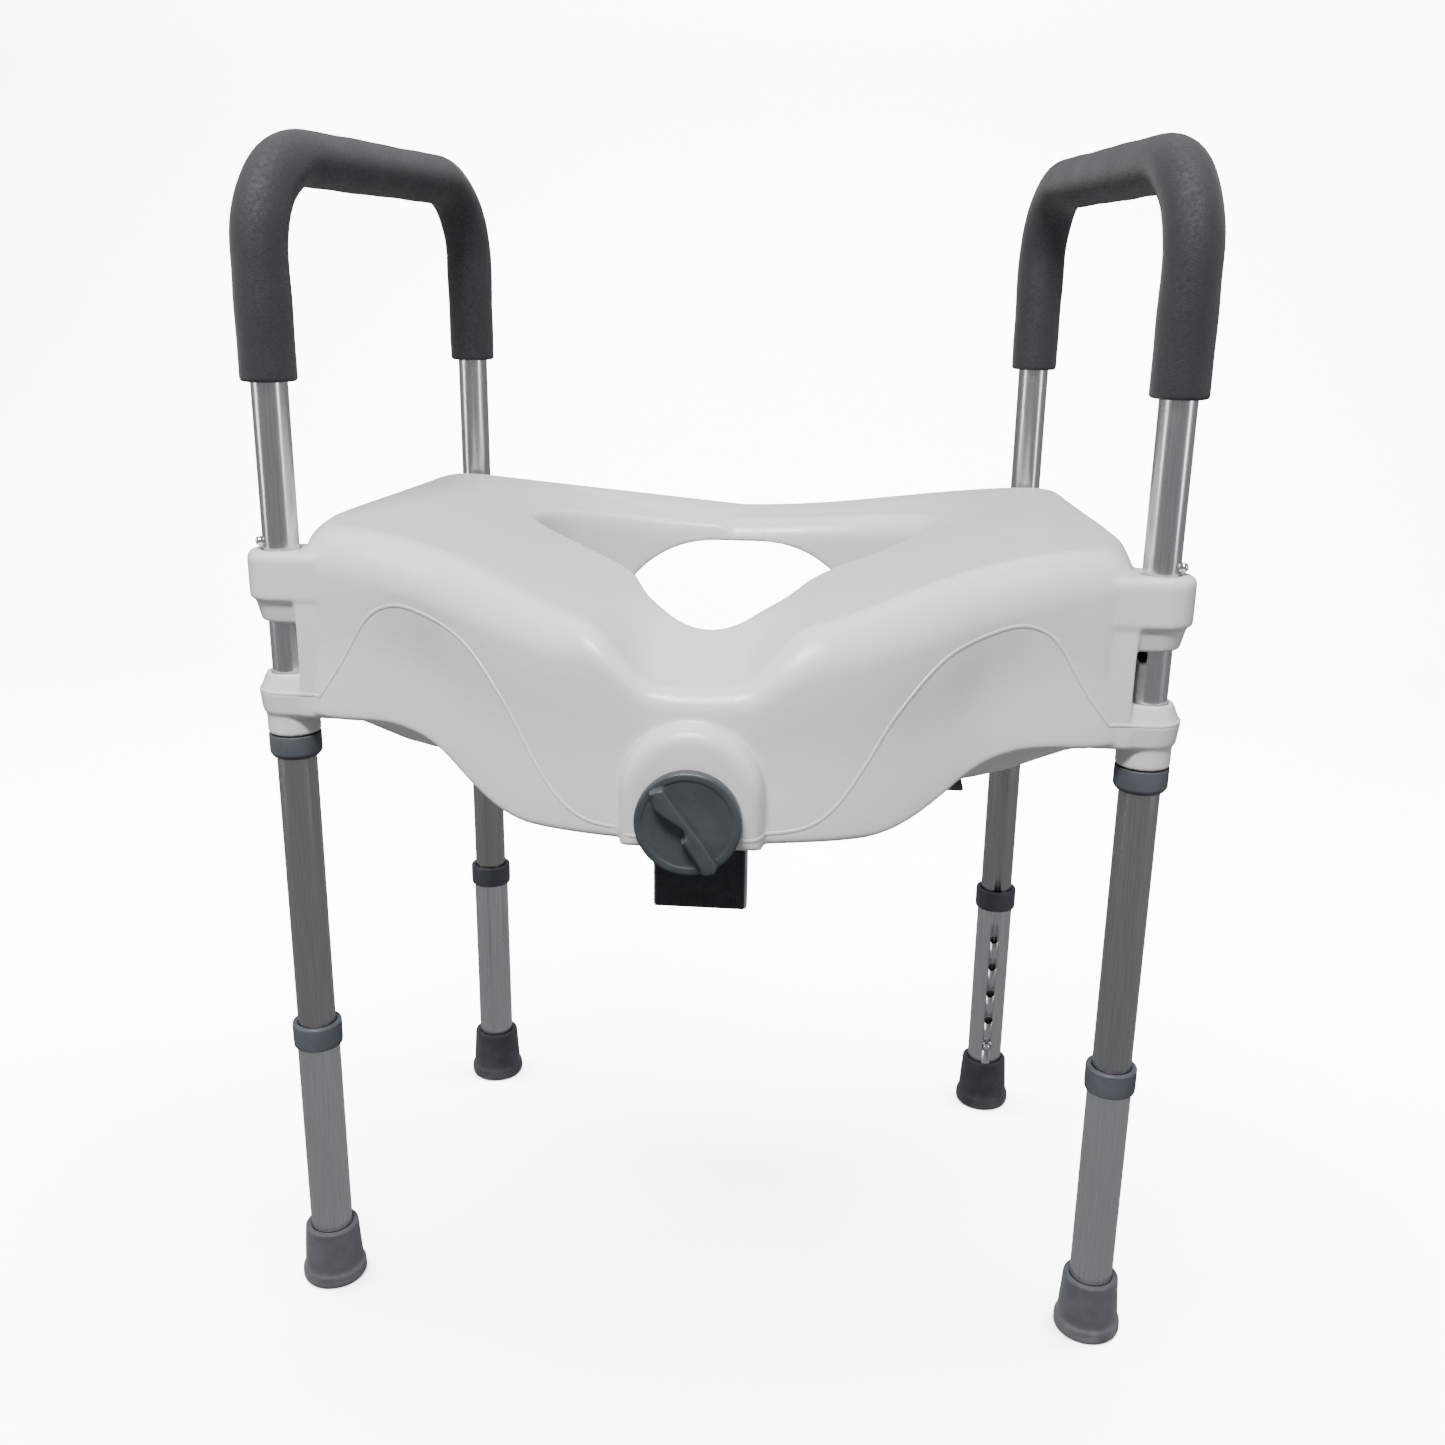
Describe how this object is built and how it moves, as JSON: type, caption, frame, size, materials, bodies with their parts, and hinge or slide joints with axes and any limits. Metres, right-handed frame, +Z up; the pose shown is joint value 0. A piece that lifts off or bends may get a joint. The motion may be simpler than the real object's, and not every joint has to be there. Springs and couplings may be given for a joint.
{
  "type": "raised toilet seat",
  "caption": "Raised toilet seat with a contoured moulded shell, padded side handles, telescopic legs with rubber feet and a knob clamp that grips the bowl rim",
  "frame": {"origin": "on the floor, under the middle of the outer box", "axes": "+Z up, -Y toward the user side with the clamp knob, +X to the right as seen from the front"},
  "size_m": [0.5814, 0.4374, 0.7782],
  "materials": {
    "shell": "light grey-white moulded polyethylene with a fine satin grain",
    "handle_tube": "anodised, fine lengthwise brushing",
    "upper_tube": "anodised, slightly darker satin",
    "lower_tube": "anodised, satin",
    "grey_plastic": "slate grey, satin",
    "rubber": "slate grey rubber, matt",
    "foam": "closed-cell foam, charcoal, fine pores",
    "steel": "zinc plated",
    "chrome": "polished",
    "knob": "dark grey, satin",
    "jaw": "light grey, satin",
    "pad": "black, fine ribbed weave"
  },
  "bodies": {
    "seat": {"seat_shell": "shell", "bowl_pad_front_left": "rubber", "bowl_pad_front_right": "rubber", "bowl_pad_rear_left": "rubber", "bowl_pad_rear_right": "rubber", "leg_upper_tube_front_left": "upper_tube", "leg_upper_tube_front_right": "upper_tube", "leg_upper_tube_rear_left": "upper_tube", "leg_upper_tube_rear_right": "upper_tube", "leg_ferrule_front_left": "grey_plastic", "leg_ferrule_front_right": "grey_plastic", "leg_ferrule_rear_left": "grey_plastic", "leg_ferrule_rear_right": "grey_plastic"},
    "leg_front_left": {"leg_lower_tube_front_left": "lower_tube", "leg_collar_front_left": "grey_plastic", "leg_foot_front_left": "rubber", "leg_foot_washer_front_left": "steel"},
    "leg_front_right": {"leg_lower_tube_front_right": "lower_tube", "leg_collar_front_right": "grey_plastic", "leg_foot_front_right": "rubber", "leg_foot_washer_front_right": "steel"},
    "leg_rear_left": {"leg_lower_tube_rear_left": "lower_tube", "leg_collar_rear_left": "grey_plastic", "leg_foot_rear_left": "rubber", "leg_foot_washer_rear_left": "steel"},
    "leg_rear_right": {"leg_lower_tube_rear_right": "lower_tube", "leg_collar_rear_right": "grey_plastic", "leg_foot_rear_right": "rubber", "leg_foot_washer_rear_right": "steel"},
    "clip_leg_front_left": {"leg_clip_front_left": "steel"},
    "clip_leg_front_right": {"leg_clip_front_right": "steel"},
    "clip_leg_rear_left": {"leg_clip_rear_left": "steel"},
    "clip_leg_rear_right": {"leg_clip_rear_right": "steel"},
    "handle_left": {"handle_tube_left": "handle_tube", "handle_grip_left": "foam"},
    "handle_right": {"handle_tube_right": "handle_tube", "handle_grip_right": "foam"},
    "clip_handle_front_left": {"handle_clip_front_left": "chrome"},
    "clip_handle_front_right": {"handle_clip_front_right": "chrome"},
    "clip_handle_rear_left": {"handle_clip_rear_left": "chrome"},
    "clip_handle_rear_right": {"handle_clip_rear_right": "chrome"},
    "knob": {"clamp_knob": "knob", "clamp_screw": "steel", "clamp_washer": "steel", "clamp_retainer": "steel"},
    "jaw": {"clamp_jaw": "jaw", "clamp_pad": "pad", "clamp_nut": "steel"}
  },
  "joints": [
    {"name": "leg_front_left_height", "type": "slide", "parent": "seat", "child": "leg_front_left", "axis": [0, 0, -1], "range_m": [0, 0.1016], "deforming": ["leg_clip_front_left"]},
    {"name": "leg_front_right_height", "type": "slide", "parent": "seat", "child": "leg_front_right", "axis": [0, 0, -1], "range_m": [0, 0.1016], "deforming": ["leg_clip_front_right"]},
    {"name": "leg_rear_left_height", "type": "slide", "parent": "seat", "child": "leg_rear_left", "axis": [0, 0, -1], "range_m": [0, 0.1016], "deforming": ["leg_clip_rear_left"]},
    {"name": "leg_rear_right_height", "type": "slide", "parent": "seat", "child": "leg_rear_right", "axis": [0, 0, -1], "range_m": [0, 0.1016], "deforming": ["leg_clip_rear_right"]},
    {"name": "leg_front_left_button", "type": "slide", "parent": "seat", "child": "clip_leg_front_left", "axis": [0, -1, 0], "range_m": [0, 0.0046], "stiffness_N_per_m": 900, "springref_m": -0.002},
    {"name": "leg_front_right_button", "type": "slide", "parent": "seat", "child": "clip_leg_front_right", "axis": [0, -1, 0], "range_m": [0, 0.0046], "stiffness_N_per_m": 900, "springref_m": -0.002},
    {"name": "leg_rear_left_button", "type": "slide", "parent": "seat", "child": "clip_leg_rear_left", "axis": [0, -1, 0], "range_m": [0, 0.0046], "stiffness_N_per_m": 900, "springref_m": -0.002},
    {"name": "leg_rear_right_button", "type": "slide", "parent": "seat", "child": "clip_leg_rear_right", "axis": [0, 1, 0], "range_m": [0, 0.0046], "stiffness_N_per_m": 900, "springref_m": -0.002},
    {"name": "handle_left_lift", "type": "slide", "parent": "seat", "child": "handle_left", "axis": [0, 0, 1], "range_m": [0, 0.17]},
    {"name": "handle_right_lift", "type": "slide", "parent": "seat", "child": "handle_right", "axis": [0, 0, 1], "range_m": [0, 0.17]},
    {"name": "handle_front_left_button", "type": "slide", "parent": "handle_left", "child": "clip_handle_front_left", "axis": [0.9397, 0.342, 0], "range_m": [0, 0.0046], "stiffness_N_per_m": 900, "springref_m": -0.002},
    {"name": "handle_front_right_button", "type": "slide", "parent": "handle_right", "child": "clip_handle_front_right", "axis": [-0.9397, 0.342, 0], "range_m": [0, 0.0046], "stiffness_N_per_m": 900, "springref_m": -0.002},
    {"name": "handle_rear_left_button", "type": "slide", "parent": "handle_left", "child": "clip_handle_rear_left", "axis": [0.9397, -0.342, 0], "range_m": [0, 0.0046], "stiffness_N_per_m": 900, "springref_m": -0.002},
    {"name": "handle_rear_right_button", "type": "slide", "parent": "handle_right", "child": "clip_handle_rear_right", "axis": [-0.9397, -0.342, 0], "range_m": [0, 0.0046], "stiffness_N_per_m": 900, "springref_m": -0.002},
    {"name": "knob_turn", "type": "hinge", "parent": "seat", "child": "knob", "pos_m": [0, -0.20259, 0.402], "axis": [0, 1, 0], "range_deg": [0, 1800]},
    {"name": "jaw_slide", "type": "slide", "parent": "seat", "child": "jaw", "axis": [0, -1, 0], "range_m": [0, 0.0101]}
  ],
  "couplings": [
    {"joint": "jaw_slide", "follows": "knob_turn", "m_per_rad": 0.00031831}
  ]
}
